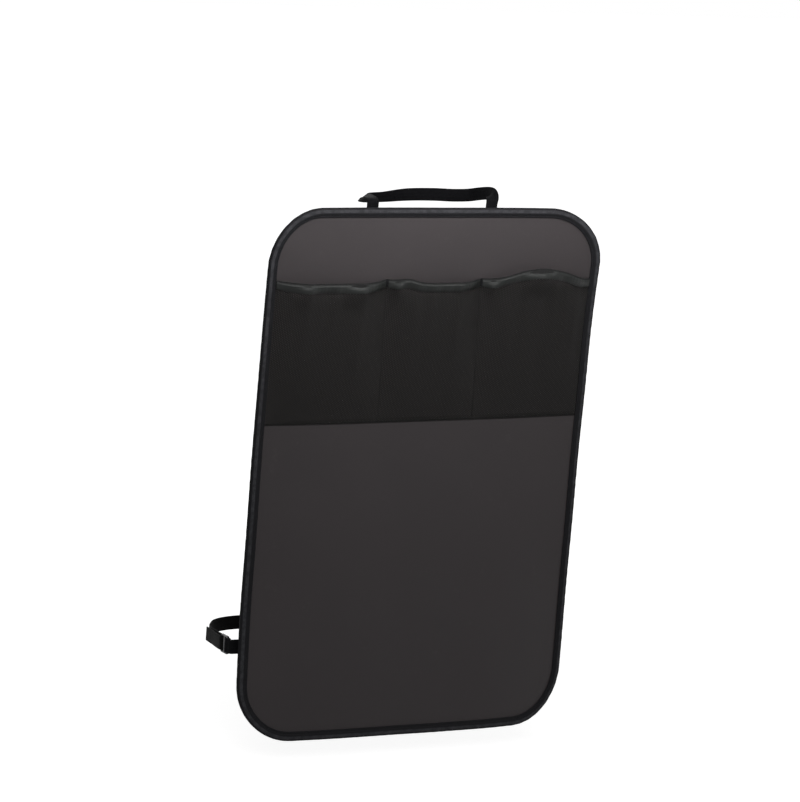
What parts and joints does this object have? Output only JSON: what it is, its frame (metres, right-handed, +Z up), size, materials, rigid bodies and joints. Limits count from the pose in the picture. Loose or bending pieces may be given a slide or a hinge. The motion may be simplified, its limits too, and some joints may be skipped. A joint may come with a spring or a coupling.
{
  "type": "seat back protector",
  "caption": "Bound fabric sheet that hangs on a car seat's back, with a strip of mesh pockets, a webbing loop for the headrest posts and an elastic strap round the seat.",
  "frame": {"origin": "midway between the two headrest posts that the top loop goes round, at the height of the loop", "axes": "+X across the sheet to the viewer's right, +Y from the visible face towards the seat, +Z up the sheet"},
  "size_m": [0.472, 0.1649, 0.6929],
  "materials": {
    "coated_fabric": "dark charcoal coated fabric with a fine weave and a soft sheen",
    "binding_tape": "ribbed black binding tape",
    "mesh": "fine black see-through mesh",
    "elastic_band": "shiny dark grey fold-over elastic",
    "webbing": "black woven webbing",
    "strap_elastic": "black woven elastic",
    "plastic": "black moulded plastic, semi-gloss"
  },
  "bodies": {
    "root": {"panel": "coated_fabric", "edge_binding": "binding_tape", "pocket_mesh": "mesh", "pocket_band": "elastic_band", "headrest_strap": "webbing", "strap_tab": "webbing", "strap_adjuster": "plastic", "seat_strap": "strap_elastic"}
  },
  "joints": []
}
